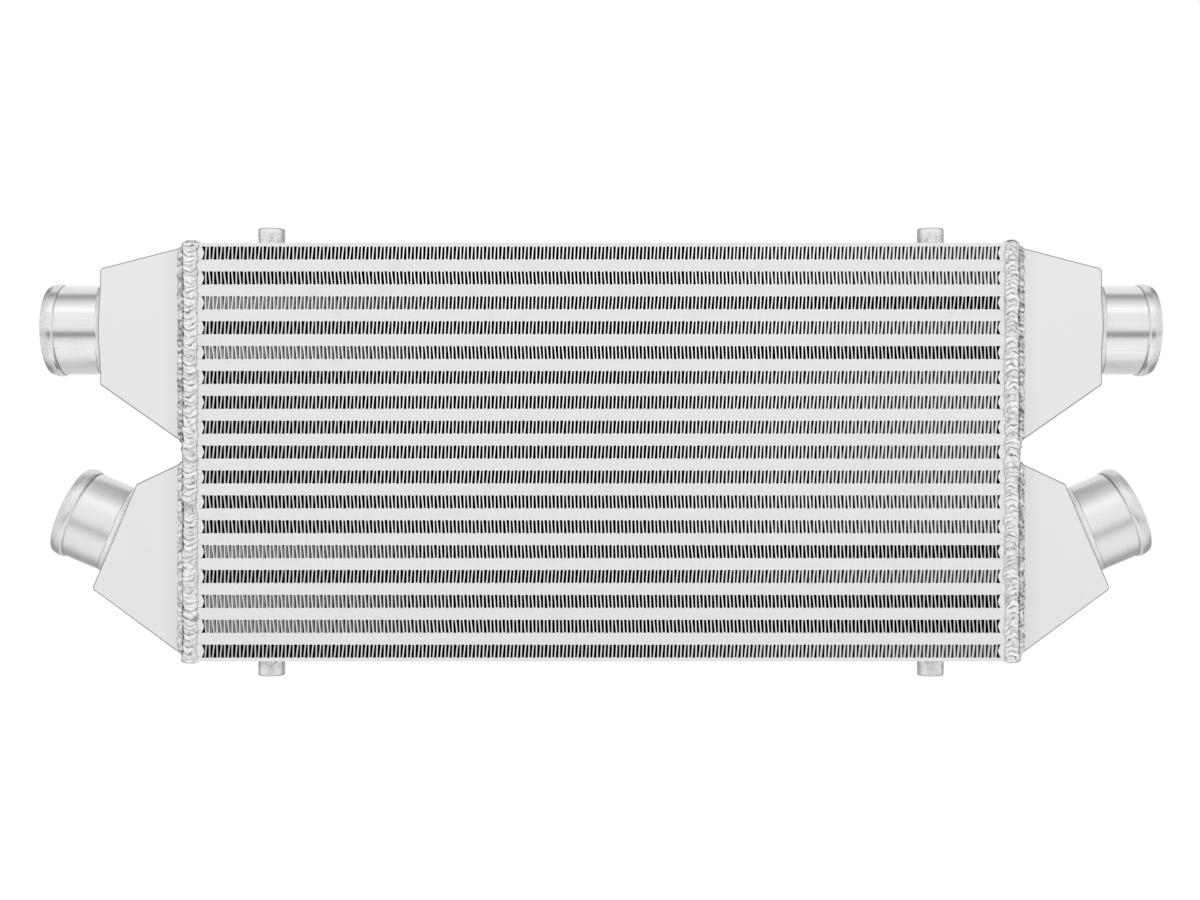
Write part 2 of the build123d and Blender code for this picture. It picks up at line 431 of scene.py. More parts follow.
def cut_edges(shape, corners):
    """The foil's cut edges: at the first and the last depth, faces from each corner on one side of the foil to the
    same corner on its other side, as rows of point numbers."""
    number = np.arange(shape[0] * shape[1]).reshape(shape)
    edges = []
    for end, order in ((0, 1), (-1, -1)):
        there, back = number[:corners, end], number[::-1, end][:corners]
        edges.append(np.stack([there[:-1], back[:-1], back[1:], there[1:]], -1)[:, ::order])
    return np.vstack(edges)


depths = np.concatenate([STEP_DEPTHS, [MIDDLE_DEPTH], 2 * MIDDLE_DEPTH - STEP_DEPTHS[::-1]])
depths = depths * half_depth / MIDDLE_DEPTH
sides = np.concatenate([STEP_SIDES, [0.0], STEP_SIDES[::-1]])
bow = BOW * (1 - np.abs(depths / half_depth - 1) / BOW_SPAN).clip(0) ** 0.8
for row in range(1, ROWS + 1):
    node = f"ambient_fin_{row:02d}"
    low, high = box_mm(node)
    turned = row in TURNED_ROWS
    line = serpentine(low, high, LEAN_LEFT if row in LEFT_LEANING_ROWS else LEAN_RIGHT, 100 + row)
    loop = np.vstack([offset(line, FOIL / 2), offset(line, -FOIL / 2)[::-1]])
    drift = (SKEW if turned else -SKEW) * (depths - half_depth) + STEP * sides + bow
    x = (loop[:, :1] + drift).clip(low[0] - 0.25, high[0] + 0.25)
    grid = points(x, depths - half_depth, loop[:, 1:].clip(low[2], high[2]))
    across = ((x - low[0]) / (high[0] - low[0])).clip(0, 1)
    across = 1 - across if turned else across
    # Painted light and shade: one mark lets the painted light reach further in at one end of the row, the other paints
    # both ends darker.
    marks = {"lit": (2.0 * across - 1.05).clip(0) ** 1.3,
             "dim": (1 - 4 * across).clip(0) + (2.0 * across - 1.45).clip(0)}
    lay(f"fin_row_{row:02d}", grid, fin_stock, node, round_v=False,
        strips=cut_edges(grid.shape[:2], len(line)), marks=marks, crease=35)
print("fin rows:", len(line), "corner points each,", tally["triangles"], "triangles so far")

# %% [markdown]
# ## A path round a rectangle
# The seam beads run right round the core, and the foot beads right round each tank. Both follow a rectangle with
# rounded corners that lies across the core. The path comes as columns, so that a row of numbers that goes across
# the bead spreads over it by itself. Along a bead the rod dips at uneven steps, and `scales` counts them.

# %% Ring path
CORNER_POINTS = 9


def ring(half_y, low, high, radius, step):
    """Points every step mm round a rectangle in the YZ plane: over the top, down the back, under, and up the front.
    Each corner is a quarter circle, and the outward way turns with it. Returns the columns run, y, z, outward y and
    outward z, and the length."""
    turn = np.radians(np.concatenate([np.linspace(180 - 90 * k, 90 - 90 * k, CORNER_POINTS) for k in range(4)]))
    centre_y = np.repeat([-half_y + radius, half_y - radius, half_y - radius, -half_y + radius], CORNER_POINTS)
    centre_z = np.repeat([high - radius, high - radius, low + radius, low + radius], CORNER_POINTS)
    y, z = centre_y + radius * np.cos(turn), centre_z + radius * np.sin(turn)
    y, z, turn = np.append(y, y[0]), np.append(z, z[0]), np.append(turn, -np.pi)
    gone = np.concatenate([[0], np.cumsum(np.hypot(np.diff(y), np.diff(z)))])
    length = gone[-1]
    steps = int(length / step)
    run = np.arange(steps)[:, None] * (length / steps)
    angle = np.interp(run, gone, turn)
    return run, np.interp(run, gone, y), np.interp(run, gone, z), np.cos(angle), np.sin(angle), length


def scales(run, length, pitch, seed, uneven=0.35):
    """How many weld ripples have passed at each run along a closed bead. Their spacing varies about pitch."""
    dice = np.random.default_rng(seed)
    gaps = 1 + uneven * dice.uniform(-1, 1, round(length / pitch))
    starts = np.concatenate([[0], np.cumsum(gaps)]) * (length / gaps.sum())
    return np.interp(np.mod(run, length), starts, np.arange(len(starts)))


print(f"a path round the core's end is {ring(half_depth, -half_height, half_height, 2.2, 1.0)[-1]:.1f} mm long")

# %% [markdown]
# ## Weld metal
# A hand-laid weld is a row of overlapping scales, one for each dip of the filler rod. The dark lines in the grooves
# between them and along the weld's two toes are painted shade, and the crests are bright. The mark
# `groove` is kept per point of the mesh and darkens the colour there: real stains, and painted shade in
# the creases. Welds on the core's seams are bare, and those round tanks, stubs and bosses were dressed with a wire
# brush, so they have less contrast and a rougher shine.

# %% Weld finishes
def weld_finish(name, bright, dark, polish):
    """Weld metal that goes from bright to dark along the mark called groove, real stain and painted
    crease shade, with pits and a frosty bloom.
    """
    material, n = finish(name)
    where = n.place()
    bloom = n.noise(where, 420.0, 3.0, 0.6)
    pits = n.noise(where, 1500.0, 3.0, 0.6)
    # Painted shade: the mark darkens the creases between scales and along the toes as painted shade, and also holds
    # real stains; the bloom is real.
    stain_and_shade = (n.mark("groove") + 0.20 * bloom.ease(0.58, 0.72)).low(1.0)
    shade = bright + (dark - bright) * stain_and_shade - 0.03 * (1 - pits.ease(0.3, 0.6))
    n.metal(shade, polish + 0.20 * bloom, n.bump(pits, 0.14, 0.12 * MM))
    return material


weld_metal = weld_finish("weld_metal", 0.99, 0.06, 0.18)
dressed_weld = weld_finish("dressed_weld", 0.93, 0.16, 0.32)
print("weld finishes ready")

# %% [markdown]
# ## Seam beads
# One bead runs round each end of the core and joins it to the tanks. Across it, v goes from 0 at the core to 1 at the
# tank. The ripples are arcs, because the pool froze later in the middle: `lag` shifts them along the bead by an arch
# in v. Each scale swells and then drops to the one before it, and has its own share of stain.

# %% Seam beads
SEAM_FROM, SEAM_MIDDLE, SEAM_TO = 281.2, 286.0, 292.5  # the bead's two toes and a line between, from the middle
SEAM_RISE, SEAM_MOST, SEAM_ROOT = 1.66, 2.6, -0.9  # heights over the core: usual, highest, and the hidden underside
SEAM_PITCH, PITCH_CHANGE = 4.0, 0.2  # from one scale to the next; the left bead's are longer, the right's shorter
RIPPLE_ARC, RIPPLE_LIFT = 3.7, 0.85  # how far a ripple bulges along the bead, and how high its scale swells
HAZE, STAIN, STREAK = 0.13, 0.354, 0.14  # darkness that all scales have, that one may have, and of thin streaks

for side, hand in HANDS:
    run, y, z, out_y, out_z, length = ring(half_depth, -half_height, half_height, radius=2.2, step=0.38)
    v = np.linspace(0, 1, 15)
    arch = 1 - (2 * v - 1) ** 2
    dome = (1 - np.abs(2 * v - 1) ** 2.8) ** 0.72
    spot = points(side * SEAM_MIDDLE, y, z)
    lag = 1.1 * rumple(spot, 11, 17 + side) * (2 * v - 1) - side * RIPPLE_ARC * arch
    lag = lag + 0.35 * rumple(points(side * SEAM_MIDDLE + 12 * v, y, z), 4, 19 + side)
    passed = scales(run + lag + 4, length, SEAM_PITCH - PITCH_CHANGE * side, 23 + side)
    part = 1 - passed % 1

    start = SEAM_FROM + 0.45 * rumple(spot, 7, 41 + side) + 0.30 * np.sin(2 * np.pi * passed[:, :1])
    stop = SEAM_TO + 0.40 * rumple(spot, 8, 43 + side) + 0.30 * np.sin(2 * np.pi * passed[:, -1:])
    x = start + (stop - start) * v + 0.135 * rumple(spot, 60, 7 + side) * arch
    body = points(side * x, y, z)
    full = 1 + 0.12 * rumple(spot, 14, 31 + side)
    height = dome * (SEAM_RISE * full + RIPPLE_LIFT * (part ** 0.8 - 0.5) + 0.06 * rumple(body, 3.2, 51 + side, 14))
    height = np.minimum(height, SEAM_MOST)

    own = np.random.default_rng(71 + side).uniform(0, 1, 400) ** 2
    stained = STAIN * own[np.floor(passed).astype(int) % 400] * (1 - part)
    streaks = STREAK * rumple(points(3 * passed, 6 * v, 0), 2.4, 73 + side, 14).clip(0)
    # Painted shade behind each scale's step and along both toes; the stain, haze and streaks are real stains.
    between = bell(part, 0.06, 0.13) * arch ** 0.2 * (0.75 + 0.25 * rumple(body, 6, 77 + side)).clip(0, 1)
    toe_shade = 0.6 * bell(v, 0, 0.07) + 0.9 * bell(v, 1, 0.07)
    groove = np.maximum(np.maximum(between, HAZE + stained + streaks), toe_shade).clip(0, 1)

    x, height, groove = wrapped(x), padded(height, SEAM_ROOT), padded(groove, 1.0)
    grid = points(side * x, y + out_y * height, z + out_z * height)
    lay(f"{hand}_seam_bead", grid, weld_metal, f"{hand}_seam_weld", marks={"groove": groove})
print("seam beads,", tally["triangles"], "triangles so far")

# %% [markdown]
# ## Sizes of the tanks and ports
# Each tank is a sloping box. Its mouth is given by its lowest and highest line on the core's end, its lower and upper
# wall by how fast they climb going outwards, and its port by how far it lies beyond the core and how high. Its stub
# leaves the end wall at a right angle, tilted up by some degrees.

# %% Tank and port sizes
TANKS = {
    "upper": {"mouth": (6.7, 142.925), "slopes": ((47.0 - 6.7) / 57.5, (128.0 - 142.925) / 57.5),
              "port": (57.5, 87.5), "tilt": 0.0},
    "lower": {"mouth": (-141.825, -7.3), "slopes": ((-95.45 + 141.825) / 63.1, (-22.35 + 7.3) / 32.1),
              "port": (47.6, -58.9), "tilt": 23.0},
}
STUB_RADIUS, STUB_WALL = 31.75, 2.0


def turn_round(side, tank, along, radius, turn):
    """Points of a surface of revolution on a tank's port: the port's centre, plus along the stub's axis, plus radius
    times (cosine of turn on the first cross axis and sine of turn on the second)."""
    tilt = math.radians(TANKS[tank]["tilt"])
    beyond, height = TANKS[tank]["port"]
    centre = np.array([side * (half_width + beyond), 0.0, height])
    axis = np.array([side * math.cos(tilt), 0.0, math.sin(tilt)])
    first = np.array([0.0, -1.0, 0.0])
    second = np.cross(axis, first)
    return (centre + np.asarray(along)[..., None] * axis
            + (radius * np.cos(turn))[..., None] * first + (radius * np.sin(turn))[..., None] * second)


print("ports at", {name: tank["port"] for name, tank in TANKS.items()})

# %% [markdown]
# ## Foot beads
# A thinner bead lies in the corner between the seam and each tank's sheet. It was brushed but never smoothed, so it
# is knotty: lumps a few millimetres long with a cleft between them, painted dark as shade. v goes from 0 at the seam
# to 1 on the tank, and the bead follows the tank's slope.

# %% Foot beads
FOOT_FROM, FOOT_MIDDLE = 291.4, 294.0  # where it starts and a line along it, from the core's middle
FOOT_REACH = 3.7  # how far it goes up the tank
FOOT_RISE, FOOT_ROOT = 1.2, -1.1  # height over the tank, and the hidden underside
KNOT_PITCH = 4.4  # from one lump to the next
FOOT_STAIN, CLEAN_FOOT_STAIN = 0.42, 0.25  # darkness, and that of the lower left tank's, the cleanest

for tank, size in TANKS.items():
    for side, hand in HANDS:
        bottom, top = size["mouth"]
        run, y, z, out_y, out_z, length = ring(half_depth, bottom, top, radius=3.0, step=0.5)
        v = np.linspace(0, 1, 9)
        spot = points(side * FOOT_MIDDLE, y, z)
        seed = 61 + 2 * side + (10 if tank == "upper" else 0)
        knots = scales(run + 0.8 * rumple(spot, 5, seed + 6) + 2.2 * v ** 2, length, KNOT_PITCH, seed + 7) % 1
        lump = np.sin(np.pi * knots[:, -1:]) ** 0.6

        reach = FOOT_REACH + 0.6 * lump + 0.25 * rumple(spot, 6, seed) + 0.2 * rumple(spot, 2.4, seed + 1)
        x = FOOT_FROM + reach * v
        share = (z - bottom) / (top - bottom)
        slope = size["slopes"][0] * (1 - share) + size["slopes"][1] * share
        z_there = z + slope * (x - half_width).clip(0)
        body = points(side * x, y, z_there)
        uneven = 0.09 * rumple(body, 2.4, seed + 2, 12) + 0.18 * rumple(body, 5, seed + 3)
        height = (1 - v ** 1.6) * (FOOT_RISE + 0.4 * lump) + uneven * np.sqrt((4 * v * (1 - v)).clip(0, 1))
        height[:, -1] = -0.25

        stain = CLEAN_FOOT_STAIN if (tank, hand) == ("lower", "left") else FOOT_STAIN
        # Painted shade in each cleft between lumps and along both toes; the stain and the rumpled darkening are real
        # stains.
        cleft_shade = 0.30 * bell((knots + 0.5) % 1, 0.5, 0.15)
        groove = stain + 0.16 * rumple(body, 2.6, seed + 4) + 0.12 * rumple(body, 9, seed + 5) + cleft_shade
        toe_shade = (0.8 * bell(v, 0, 0.20) + bell(v, 1, 0.17)) * (0.85 + 0.3 * rumple(body, 4, seed + 8))
        groove = np.maximum(groove, toe_shade).clip(0, 1)

        x, z_there, height, groove = wrapped(x), wrapped(z_there), padded(height, FOOT_ROOT), padded(groove, 1.0)
        grid = points(side * x, y + out_y * height, z_there + out_z * height)
        lay(f"{tank}_{hand}_foot_bead", grid, dressed_weld, f"{tank}_{hand}_tank_weld",
            marks={"groove": groove})
print("foot beads,", tally["triangles"], "triangles so far")

# %% [markdown]
# ## Tank sheet
# Tank sheet has been sanded flat, so it is satin and even, with a short grain. Its edges were broken with a finer
# cloth and are smoother, so they show the darker sides of the room, and their colour is painted darker as well, a
# painted dark line. A face that is turned neither to the front nor to the side is such an edge, and its normal tells.
# Close to the seam the heat of welding has left the sheet a little greyer.

# %% Satin sheet
HEAT_FROM, HEAT_TO = 294.0, 308.0  # from the core's middle: greyest up to the first, clean from the second on

satin_sheet, n = finish("satin_sheet")
where = n.place()
x = n.split(where)[0]
to_front = abs(n.split(n.add("ShaderNodeNewGeometry", out="Normal"))[1])
grain = n.noise(where, (240.0, 900.0, 1700.0), 3.0, 0.6)
clouds = n.noise(where, 24.0, 3.0)
# Painted dark line: on the rounded edges the colour is painted darker, and the roughness is lower.
painted_edge_line_and_polish = to_front.ease(0.05, 0.2) * (1 - to_front.ease(0.93, 0.995))
heat = 1 - abs(x).ease(HEAT_FROM * MM, HEAT_TO * MM)
shade = 0.865 + 0.02 * (grain - 0.5) - 0.02 * clouds.ease(0.5, 0.8) - 0.06 * heat
rough = 0.50 + 0.08 * (grain - 0.5) + 0.06 * clouds
n.metal(shade * (1 - 0.62 * painted_edge_line_and_polish), rough - 0.28 * painted_edge_line_and_polish, n.bump(grain, 0.12, 0.05 * MM))
print(f"satin sheet, heated up to {HEAT_TO - half_width:.1f} mm from the core")

# %% [markdown]
# ## Hose stubs
# A stub is a length of tube that was polished on a lathe with fine cloth, so its scratches run round it, with a
# rolled bead near the mouth that keeps the hose on. It is a profile turned round the port's axis. Three marks steer
# its finish: `along` is the distance from the port, which the lathe lines follow, `valley` is painted
# shade in the crease behind the rolled bead, a painted dark line on top of it and a slight darkening of the lip,
# weaker where the stub faces the front, and `dull` is 1 on the lower stubs, which were polished less.

# %% Stub finish
RIM_FROM, RIM_TO = 37.6, 39.0  # along the stub: where the worn rim begins, and where it is fully worn

brushed_tube, n = finish("brushed_tube")
where = n.place()
along, valley, dull = n.mark("along"), n.mark("valley"), n.mark("dull")
lines_at = n.add("ShaderNodeCombineXYZ", None, {"X": along * 1.1})
lathe = n.add("ShaderNodeTexNoise", None, {"Vector": lines_at, "Scale": 1.0, "Detail": 4.0, "Roughness": 0.7})
haze = n.noise(where, 55.0, 3.0)
wear = n.noise(where, 700.0)
flow = (n.noise(where, (12.0, 380.0, 380.0), 3.0, 0.6) - 0.5) * (1 - 0.7 * dull)
worn = along.ease(RIM_FROM, RIM_TO) * wear.ease(0.45, 0.62)
# The crease mark darkens the colour here: painted shade.
shade = (0.76 + 0.14 * (lathe - 0.5) + 0.18 * flow - 0.05 * haze.ease(0.5, 0.8)) * (1 - valley)
rough = 0.12 + 0.14 * (lathe - 0.5) + 0.08 * haze + 0.05 * wear + 0.13 * dull
n.metal(shade * (1 - 0.10 * worn), rough, n.bump(lathe + 0.6 * flow, 0.25, 0.06 * MM))
print("brushed tube, worn on its rim")

# %% Stubs
BEAD_FOOT, BEAD_TOP = 35.0, 37.7  # along the stub: the crease behind the rolled bead, and the bead's top
GROOVE_INSIDE = 39.7  # where the rolling tool pushed the tube out from inside

outside = np.array([-3.0, 0.0, 8.0, 16.0, 24.0, 31.0, 33.4, 34.2, 34.6, 34.9, 35.2, 35.5, 35.9, 36.4, 37.0, 37.7,
                    38.6, 39.6, 40.6, 41.6, 42.5, 43.2, 43.8])
swelling = np.array([0, 0, 0, 0, 0, 0, 0, 0, -0.03, 0, 0.14, 0.48, 0.86, 1.14, 1.31, 1.38,
                     1.37, 1.30, 1.14, 0.90, 0.60, 0.34, 0.12])
mouth = np.array([44.2, 44.4, 44.4, 44.2, 43.6])
mouth_radius = STUB_RADIUS + np.array([-0.15, -0.5, -STUB_WALL + 0.35, -STUB_WALL + 0.08, -STUB_WALL])
inside = np.array([42.0, 39.7, 37.4, 34.6, 24.0, 10.0, -3.0])
inside_radius = STUB_RADIUS - STUB_WALL + 0.9 * bell(inside, GROOVE_INSIDE, 2.2)
profile = np.concatenate([outside, mouth, inside])
profile_radius = np.concatenate([STUB_RADIUS + swelling, mouth_radius, inside_radius])
turn = np.linspace(0, 2 * np.pi, 192, endpoint=False)[:, None]
for tank in TANKS:
    for side, hand in HANDS:
        grid = turn_round(side, tank, profile, profile_radius, turn)
        y = grid[..., 1]
        # Painted shade: the crease behind the bead, a dark line on its top and the lip beyond are painted darker,
        # least where the stub faces the front.
        facing = 1 - (np.abs(y) / STUB_RADIUS).clip(0, 1) * (y < 0)
        valley = bell(profile, BEAD_FOOT, 0.45) * (0.15 + 0.75 * facing ** 0.6)
        valley = valley + 0.06 * ((profile - BEAD_TOP - 0.9) / 1.5).clip(0, 1)
        valley = valley + 0.20 * bell(profile, BEAD_TOP, 0.45) * (0.4 + 0.6 * facing)
        lay(f"{tank}_{hand}_hose_stub", grid, brushed_tube, f"{tank}_{hand}_stub",
            marks={"along": profile, "valley": valley, "dull": tank == "lower"}, crease=24)
print("stubs,", tally["triangles"], "triangles so far")

# %% [markdown]
# ## Swollen ends
# Welding heat drew the upper tanks' end walls out by up to two millimetres round their stubs. A thin pad with the hole
# for the stub covers each of these walls. Its grid runs round the stub and outwards to the wall's edges, where it
# rounds over into the tank's faces.

# %% Swollen end walls
PAD_UP, PAD_ROUND, PAD_THICK = 40.0, 1.2, 1.6  # half its height, its rounded edge, and how deep its back lies
ROUND_IN, ROUND_DOWN = np.array([0.72, 0.35, 0.10, 0.0]), np.array([0.10, 0.35, 0.72, 1.2])
SWELLING = {-1: (87.0, 23.0, 1.9), 1: (89.0, 15.0, 1.5)}  # by side: height of its middle, spread, and most


def swell(side, tank, height):
    """How far the end wall stands out at this height in mm: a bell curve about the stub's axis."""
    middle, spread, most = SWELLING[side]
    return most * bell(height, middle, spread) * (tank == "upper")


turn = np.linspace(0, 2 * np.pi, 240, endpoint=False)[:, None]
edge = np.minimum((half_depth + 0.02) / np.abs(np.cos(turn)).clip(1e-6), PAD_UP / np.abs(np.sin(turn)).clip(1e-6))
inner = STUB_RADIUS - 0.8
share = np.array([0.0, 0.0, 0.25, 0.5, 0.75, 1.0])
radius = np.concatenate([inner + (edge - PAD_ROUND - inner) * share, edge - ROUND_IN, edge], 1)
drop = np.concatenate([0 * share, ROUND_DOWN, [0.0]])
for side, hand in HANDS:
    along = swell(side, "upper", turn_round(side, "upper", 0.0, radius, turn)[..., 2]) - 0.3 - drop
    along[:, 0] = along[:, -1] = -PAD_THICK
    grid = turn_round(side, "upper", along, radius, turn)
    lay(f"upper_{hand}_swollen_end", grid, satin_sheet, None, crease=50)
print("end walls swollen by up to", max(most for middle, spread, most in SWELLING.values()), "mm")

# %% [markdown]
# ## Port beads
# The stub's root has a fillet of weld all round. The end wall is only as wide as the core is deep, so above and
# below the stub there is more room and the fillet climbs higher there. v goes from 0 on the wall to 1 on the stub.

# %% Port beads
PORT_MIDDLE = 34.0  # radius of the fillet's middle
PORT_FOOT, PORT_MOST = 4.7, 36.9  # width of its foot on the wall, and the radius that it keeps within
PORT_CLIMB, MORE_ABOVE = 5.0, 4.5  # how far it climbs the stub at the sides, and how much more above and below
PORT_PITCH = 3.4  # from one scale to the next

turn = np.linspace(0, 2 * np.pi, 460, endpoint=False)[:, None]
spot = PORT_MIDDLE * points(0, np.cos(turn), np.sin(turn))
v = np.linspace(0, 1, 11)
arch = 1 - (2 * v - 1) ** 2
inner = np.full_like(turn, STUB_RADIUS - 0.6)
for tank in TANKS:
    for side, hand in HANDS:
        seed = 81 + 2 * side + (10 if tank == "upper" else 0)
        run = PORT_MIDDLE * turn + 1.8 * arch + 4
        part = scales(run, 2 * np.pi * PORT_MIDDLE, PORT_PITCH, seed) % 1
        foot = PORT_FOOT + 0.12 * rumple(spot, 12, seed + 1)
        climb = PORT_CLIMB + MORE_ABOVE * np.sin(turn) ** 2 + 0.25 * rumple(spot, 16, seed + 2)
        puff = 0.7 * arch * (0.25 + 0.10 * (part - 0.5))
        across = (STUB_RADIUS + foot * (1 - v) ** 1.5 + puff).clip(None, PORT_MOST)
        swollen = swell(side, tank, turn_round(side, tank, 0.0, across, turn)[..., 2])
        along = climb * v ** 1.5 + puff + swollen * (1 - v) ** 0.5
        # Painted shade behind each scale and along both toes, over a faint real tint.
        groove = 0.05 + 0.15 * bell(part, 0.03, 0.1) * arch ** 0.3 + 0.40 * bell(v, 0, 0.09) + 0.35 * bell(v, 1, 0.09)

        across = np.concatenate([across, inner, inner, across[:, :1]], 1)
        along = padded(np.concatenate([along, along[:, -1:]], 1), -0.8)
        lay(f"{tank}_{hand}_port_bead", turn_round(side, tank, along, across, turn), dressed_weld,
            f"{tank}_{hand}_stub_weld", marks={"groove": padded(groove, 1.0, 3)})
print("port beads,", tally["triangles"], "triangles so far")

# %% [markdown]
# ## Mounting bosses
# Four short turned bars with a tapped hole stand on the covers. They were welded on by hand and wiped, so weld metal
# and soot have climbed up their sides in uneven tongues and curls, which thin out towards the rim. The thread is a
# groove whose place along the hole moves on by one pitch each turn.

# %% Boss finish
SOOT_FULL, SOOT_GONE = 5.0, 12.0  # above the cover: all of the soot up to the first, none from the second on
RIM_START, RIM_END = 13.2, 14.0  # where the boss turns into its rim

turned_bar, n = finish("turned_bar")
where = n.place()
smear = n.noise(where, (210.0, 210.0, 260.0), 3.0, 0.6)
fine = n.noise(where, 900.0, 2.0, 0.6)
curl = 1 - abs(n.noise(where, (330.0, 330.0, 420.0), 2.0, 0.6) - 0.5).ease(0.0, 0.045)
up = abs(n.split(where)[2]) - half_height * MM
rim = up.ease(RIM_START * MM, RIM_END * MM)
low_down = 1 - up.ease(SOOT_FULL * MM, SOOT_GONE * MM)
shade = 0.84 - 0.30 * curl * low_down
shade = shade - 0.30 * smear.ease(0.45, 0.7) * (0.3 + 0.7 * low_down) - 0.20 * fine.ease(0.5, 0.75) * low_down
n.metal(shade * (1 - 0.35 * rim), 0.30 + 0.2 * smear, n.bump(smear + 0.4 * fine, 0.5, 0.35 * MM))
print("turned bar, sooty up to", SOOT_GONE, "mm")

# %% Bosses
BOSS_RADIUS, BOSS_HEIGHT, BOSS_X = 9.5, 14.5, 237.0
HOLE_RADIUS, HOLE_DEPTH = 3.4, 12.0
THREAD_PITCH, THREAD_HEIGHT, THREAD_RINGS = 1.25, 0.42, 53  # a coarse 8 mm thread, drawn with 53 rings of points


def stand(side, end, up, radius, turn):
    """Points round a boss: its foot on the cover, up along Z, and radius times (cosine, sine) of turn."""
    return points(side * BOSS_X + radius * np.cos(turn), radius * np.sin(turn), end * (half_height + up))


outer_up = np.array([0.0, 0.0, 4.0, 9.0, 13.0, 13.9, 14.3, BOSS_HEIGHT, BOSS_HEIGHT, BOSS_HEIGHT, 14.1])
outer_radii = np.array([3.0, 9.5, 9.5, 9.5, 9.5, 9.45, 9.2, 8.7, 6.0, 4.3, 3.75])
thread_up = BOSS_HEIGHT - 0.6 - np.arange(THREAD_RINGS) * (HOLE_DEPTH - 1.2) / THREAD_RINGS
floor_up, floor_radii = np.full(3, BOSS_HEIGHT - HOLE_DEPTH), np.array([HOLE_RADIUS - 0.2, 0.01, 0.01])
boss_up = np.concatenate([outer_up, thread_up, floor_up])
boss_radii = np.concatenate([outer_radii, np.full(THREAD_RINGS, HOLE_RADIUS + 0.15), floor_radii])
threaded = np.concatenate([0 * outer_up, np.ones(THREAD_RINGS), 0 * floor_up])
turn = np.linspace(0, 2 * np.pi, 96, endpoint=False)[:, None]
ridge = np.abs(((boss_up / THREAD_PITCH + turn / (2 * np.pi)) % 1) - 0.5) * 2
radius = boss_radii - threaded * THREAD_HEIGHT * (ridge - 0.5)
radius = radius + 0.05 * (boss_radii > 9) * rumple(points(turn, boss_up, 0), 5, 5)

bead_turn = np.linspace(0, 2 * np.pi, 150, endpoint=False)[:, None]
spot = BOSS_RADIUS * points(np.cos(bead_turn), np.sin(bead_turn), 0)
v = np.linspace(0, 1, 10)
arch = 1 - (2 * v - 1) ** 2
inner = np.full_like(bead_turn, BOSS_RADIUS - 0.6)
for end, level in ((1, "top"), (-1, "bottom")):
    for side, hand in HANDS:
        grid = stand(side, end, boss_up, radius, turn)
        lay(f"{level}_{hand}_tapped_boss", grid, turned_bar, f"{level}_{hand}_boss", crease=35)

        seed = 121 + 3 * side + 7 * end
        climb = (2.5 + 0.5 * rumple(spot, 7, seed)).clip(1.6, 3.4)
        spread = (2.3 + 0.3 * rumple(spot, 5, seed + 1)).clip(1.6, 2.9)
        part = scales(BOSS_RADIUS * bead_turn + 1.2 * arch, 2 * np.pi * BOSS_RADIUS, 2.8, seed) % 1
        lump = 0.6 * arch * (0.35 + 0.3 * (part - 0.5))
        across = BOSS_RADIUS + spread * (1 - v) ** 1.4 + lump
        up = climb * v ** 1.4 + lump
        # Painted shade behind each scale and along the toe on the boss.
        groove = np.maximum(bell(part, 0, 0.12) * arch, 0.8 * bell(v, 1, 0.1))
        across = np.concatenate([across, inner, inner], 1)
        up = padded(np.concatenate([up, climb], 1), -0.4, 1)
        lay(f"{level}_{hand}_boss_bead", stand(side, end, up, across, bead_turn), dressed_weld,
            f"{level}_{hand}_boss_weld", marks={"groove": padded(groove, 1.0)})
print("bosses,", tally["triangles"], "triangles so far")

# %% [markdown]
# ## Finishes for the bars and sheets
# These solids keep their CAD shape, because a flat bar is a flat bar. What they need is a surface. Drawn bar has fine
# lines along its length, and a furnace leaves it satin, with faint clouds and specks of flux. At each end bar the
# brazed joints between the bars show as thin grey lines. They lie half a row's height above and below the middle of
# each fin row, so a height that folds back and forth once a row finds them all.

# %% Bar stock
COVER_AND_SHEET = 3.0  # thickness of a cover with the sheet under it
JOINT_WIDTH = 0.40
ROW_PITCH = (2 * half_height - 2 * COVER_AND_SHEET - row_height) / (ROWS - 1)

bar_stock, n = finish("bar_stock")
where = n.place()
x, _, z = n.split(where)
lines = n.noise(where, (28.0, 1400.0, 1400.0), 3.0, 0.6)
smears = n.noise(where, (45.0, 500.0, 500.0), 3.0, 0.6)
clouds = n.noise(where, 60.0, 3.0)
specks = n.noise(where, 900.0, 2.0, 0.6)
from_row = n.add("ShaderNodeMath", {"operation": "PINGPONG"}, {0: z, 1: ROW_PITCH / 2 * MM})
joint = 1 - abs(from_row - row_height / 2 * MM).ease(0.0, JOINT_WIDTH * MM)
joint = joint * abs(x).ease(fin_high[0] * MM, (fin_high[0] + JOINT_WIDTH) * MM)
# Painted shade: the term in z paints the colour darker towards the top and lighter towards the bottom.
shade = 0.87 - 0.25 * z + 0.035 * (lines - 0.5) + 0.07 * (smears - 0.5) - 0.05 * clouds.ease(0.55, 0.8)
shade = shade - 0.06 * specks.ease(0.62, 0.8) - 0.22 * joint
n.metal(shade, 0.40 + 0.16 * (lines - 0.5) + 0.10 * clouds, n.bump(lines, 0.2, 0.08 * MM))
print("bar stock, with a joint line every", round(ROW_PITCH, 3), "mm")

# %% Give the CAD nodes their finishes
KEPT = [
    (satin_sheet, [f"{tank}_{hand}_tank" for tank in TANKS for side, hand in HANDS]),
    (bar_stock, ["front_bars", "back_bars", "left_end_bars", "right_end_bars", "parting_sheets", "top_plate",
                 "bottom_plate"]),
    (fin_stock, ["charge_fins"]),
]
for material, names in KEPT:
    for name in names:
        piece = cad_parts[name]
        if not piece.material_slots:
            piece.data.materials.append(None)
        for slot in piece.material_slots:
            slot.link = "OBJECT"
            slot.material = material
print("CAD nodes dressed:", sum(len(names) for material, names in KEPT))

